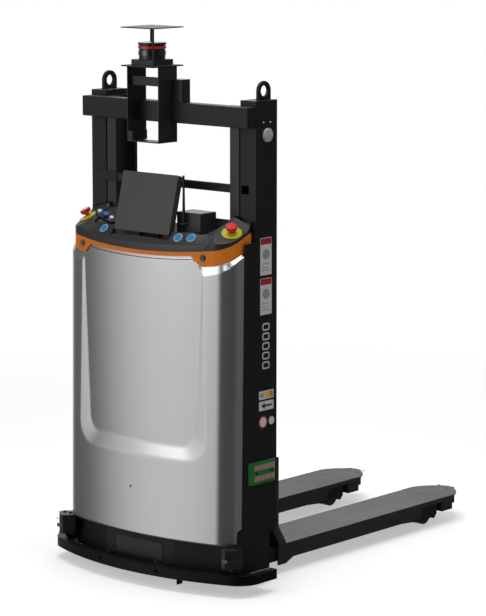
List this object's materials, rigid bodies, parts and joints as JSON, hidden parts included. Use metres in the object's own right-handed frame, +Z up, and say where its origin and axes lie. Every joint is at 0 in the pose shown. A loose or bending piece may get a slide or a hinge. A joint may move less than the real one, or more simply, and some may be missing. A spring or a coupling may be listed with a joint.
{
  "type": "autonomous mobile robot",
  "caption": "Autonomous pallet-stacking mobile robot: forks over support legs on a chain lift mast, curved front cover, tilted console, sensor tower and contact bumper.",
  "frame": {"origin": "on the floor, at the centre of the outline seen from above", "axes": "+Z up, +Y from the bumper towards the fork tips, +X towards the machine's side that is on the right when its front is seen; metres"},
  "size_m": [0.976, 1.642, 2.014],
  "materials": {
    "frame_black": "satin black powder coat",
    "rail_steel": "satin black, worn bright along the roller track",
    "fork_black": "satin black paint",
    "tower_black": "matt black powder coat",
    "cover_silver": "satin silver lacquer on a moulded cover",
    "band_orange": "gloss orange",
    "lens_black": "gloss black lens",
    "deck_grey": "fine-grained dark grey plastic",
    "rod_chrome": "hard chrome",
    "cylinder_black": "satin black",
    "chain_steel": "oiled steel",
    "pulley_steel": "turned steel",
    "roller_steel": "turned steel",
    "roller_polyurethane": "violet-blue cast polyurethane",
    "drive_iron": "painted casting",
    "caster_zinc": "zinc-plated pressing",
    "battery_case": "grained case",
    "stop_yellow": "yellow",
    "stop_red": "signal red",
    "pad_dark": "dark grey",
    "button_white": "white",
    "button_blue": "blue",
    "panel_black": "black bezel and dark glass",
    "equipment_grey": "grey case",
    "antenna_black": "black sleeve",
    "service_grey": "dark grey paint",
    "strap_rubber": "carbon rubber",
    "bumper_rubber": "smooth black",
    "sensor_plastic": "matt black",
    "lidar_plastic": "dark window between matt black rings",
    "lamp_lens": "dark lens in a black bezel",
    "charge_green": "green moulded block"
  },
  "bodies": {
    "machine": {"mast_posts": "frame_black", "mast_rails": "rail_steel", "top_crossbeam": "frame_black", "mid_crossbar": "frame_black", "chain_anchor_bar": "frame_black", "lifting_eye_right": "frame_black", "lifting_eye_left": "frame_black", "chassis_frame": "frame_black", "support_leg_right": "frame_black", "support_leg_left": "frame_black", "lift_cylinders": "cylinder_black", "front_cover": "cover_silver", "trim_band": "band_orange", "band_sensors": "lens_black", "console_deck": "deck_grey", "body_frame": "frame_black", "battery_pack": "battery_case", "stop_bases": "stop_yellow", "button_pad": "pad_dark", "display_stand": "frame_black", "equipment_box": "equipment_grey", "antenna": "antenna_black", "front_skirt": "frame_black", "service_panel": "service_grey", "antistatic_strap": "strap_rubber", "corner_sensors": "sensor_plastic", "sensor_brackets": "frame_black", "tower_bracket": "tower_black", "sensor_platter": "tower_black", "scan_lidar": "lidar_plastic", "lidar_guard": "tower_black", "beam_sensor_box": "sensor_plastic", "side_lamps": "lamp_lens", "charge_block": "charge_green"},
    "carriage": {"carriage_frame": "frame_black", "fork_right": "fork_black", "fork_left": "fork_black"},
    "lift_gear": {"lift_rods": "rod_chrome", "lift_chains": "chain_steel"},
    "drive_head": {"drive_unit": "drive_iron"},
    "traction_wheel": {"drive_wheel": "roller_polyurethane"},
    "bumper": {"front_bumper": "bumper_rubber"},
    "display": {"display_panel": "panel_black"},
    "outer_button": {"white_button_outer": "button_white"},
    "middle_button": {"blue_button": "button_blue"},
    "inner_button": {"white_button_inner": "button_white"},
    "pulley_right": {"chain_pulley_right": "pulley_steel"},
    "guide_lower_right": {"guide_roller_lower_right": "roller_steel"},
    "guide_upper_right": {"guide_roller_upper_right": "roller_steel"},
    "caster_swivel_right": {"caster_fork_right": "caster_zinc"},
    "caster_roll_right": {"caster_wheel_right": "roller_polyurethane"},
    "load_roller_right": {"load_roller_right": "roller_polyurethane"},
    "stop_right": {"stop_button_right": "stop_red"},
    "pulley_left": {"chain_pulley_left": "pulley_steel"},
    "guide_lower_left": {"guide_roller_lower_left": "roller_steel"},
    "guide_upper_left": {"guide_roller_upper_left": "roller_steel"},
    "caster_swivel_left": {"caster_fork_left": "caster_zinc"},
    "caster_roll_left": {"caster_wheel_left": "roller_polyurethane"},
    "load_roller_left": {"load_roller_left": "roller_polyurethane"},
    "stop_left": {"stop_button_left": "stop_red"}
  },
  "joints": [
    {"name": "carriage_lift", "type": "slide", "parent": "machine", "child": "carriage", "axis": [0, 0, 1], "range_m": [0, 1.1]},
    {"name": "rod_lift", "type": "slide", "parent": "machine", "child": "lift_gear", "axis": [0, 0, 1], "range_m": [0, 0.55], "deforming": ["lift_chains"]},
    {"name": "pulley_right_turn", "type": "hinge", "parent": "lift_gear", "child": "pulley_right", "pos_m": [0.15, -0.509, 0.925], "axis": [1, 0, 0], "range_deg": [-5, 1055]},
    {"name": "guide_lower_right_turn", "type": "hinge", "parent": "carriage", "child": "guide_lower_right", "pos_m": [0.296, -0.509, 0.2], "axis": [1, 0, 0], "range_deg": [-5, 1390]},
    {"name": "guide_upper_right_turn", "type": "hinge", "parent": "carriage", "child": "guide_upper_right", "pos_m": [0.296, -0.509, 0.51], "axis": [1, 0, 0], "range_deg": [-1390, 5]},
    {"name": "caster_swivel_right_turn", "type": "hinge", "parent": "machine", "child": "caster_swivel_right", "pos_m": [0.262, -0.631, 0.1], "axis": [0, 0, 1], "continuous": true},
    {"name": "caster_roll_right_turn", "type": "hinge", "parent": "caster_swivel_right", "child": "caster_roll_right", "pos_m": [0.262, -0.613, 0.0375], "axis": [1, 0, 0], "continuous": true},
    {"name": "load_roller_right_turn", "type": "hinge", "parent": "machine", "child": "load_roller_right", "pos_m": [0.239, 0.598, 0.042], "axis": [1, 0, 0], "continuous": true},
    {"name": "pulley_left_turn", "type": "hinge", "parent": "lift_gear", "child": "pulley_left", "pos_m": [-0.15, -0.509, 0.925], "axis": [1, 0, 0], "range_deg": [-5, 1055]},
    {"name": "guide_lower_left_turn", "type": "hinge", "parent": "carriage", "child": "guide_lower_left", "pos_m": [-0.296, -0.509, 0.2], "axis": [1, 0, 0], "range_deg": [-5, 1390]},
    {"name": "guide_upper_left_turn", "type": "hinge", "parent": "carriage", "child": "guide_upper_left", "pos_m": [-0.296, -0.509, 0.51], "axis": [1, 0, 0], "range_deg": [-1390, 5]},
    {"name": "caster_swivel_left_turn", "type": "hinge", "parent": "machine", "child": "caster_swivel_left", "pos_m": [-0.262, -0.631, 0.1], "axis": [0, 0, 1], "continuous": true},
    {"name": "caster_roll_left_turn", "type": "hinge", "parent": "caster_swivel_left", "child": "caster_roll_left", "pos_m": [-0.262, -0.613, 0.0375], "axis": [1, 0, 0], "continuous": true},
    {"name": "load_roller_left_turn", "type": "hinge", "parent": "machine", "child": "load_roller_left", "pos_m": [-0.239, 0.598, 0.042], "axis": [1, 0, 0], "continuous": true},
    {"name": "drive_steer", "type": "hinge", "parent": "machine", "child": "drive_head", "pos_m": [0, -0.657, 0.1], "axis": [0, 0, 1], "range_deg": [-90, 90]},
    {"name": "traction_wheel_turn", "type": "hinge", "parent": "drive_head", "child": "traction_wheel", "pos_m": [0, -0.657, 0.075], "axis": [1, 0, 0], "continuous": true},
    {"name": "bumper_travel", "type": "slide", "parent": "machine", "child": "bumper", "axis": [0, 1, 0], "range_m": [0, 0.012], "stiffness_N_per_m": 1500},
    {"name": "stop_right_press", "type": "slide", "parent": "machine", "child": "stop_right", "axis": [-0.2827, 0.3562, -0.8906], "range_m": [0, 0.004], "stiffness_N_per_m": 800},
    {"name": "stop_left_press", "type": "slide", "parent": "machine", "child": "stop_left", "axis": [0.2827, 0.3562, -0.8906], "range_m": [0, 0.004], "stiffness_N_per_m": 800},
    {"name": "outer_button_press", "type": "slide", "parent": "machine", "child": "outer_button", "axis": [-0.4061, 0.3394, -0.8485], "range_m": [0, 0.003], "stiffness_N_per_m": 300},
    {"name": "middle_button_press", "type": "slide", "parent": "machine", "child": "middle_button", "axis": [-0.4061, 0.3394, -0.8485], "range_m": [0, 0.003], "stiffness_N_per_m": 300},
    {"name": "inner_button_press", "type": "slide", "parent": "machine", "child": "inner_button", "axis": [-0.4061, 0.3394, -0.8485], "range_m": [0, 0.003], "stiffness_N_per_m": 300},
    {"name": "display_tilt", "type": "hinge", "parent": "machine", "child": "display", "pos_m": [0, -0.68545, 1.31162], "axis": [1, 0, 0], "range_deg": [-8, 15]}
  ],
  "couplings": [
    {"joint": "rod_lift", "follows": "carriage_lift", "ratio": 0.5},
    {"joint": "pulley_right_turn", "follows": "carriage_lift", "rad_per_m": 16.667},
    {"joint": "guide_lower_right_turn", "follows": "carriage_lift", "rad_per_m": 21.978},
    {"joint": "guide_upper_right_turn", "follows": "carriage_lift", "rad_per_m": -21.978},
    {"joint": "pulley_left_turn", "follows": "carriage_lift", "rad_per_m": 16.667},
    {"joint": "guide_lower_left_turn", "follows": "carriage_lift", "rad_per_m": 21.978},
    {"joint": "guide_upper_left_turn", "follows": "carriage_lift", "rad_per_m": -21.978}
  ]
}
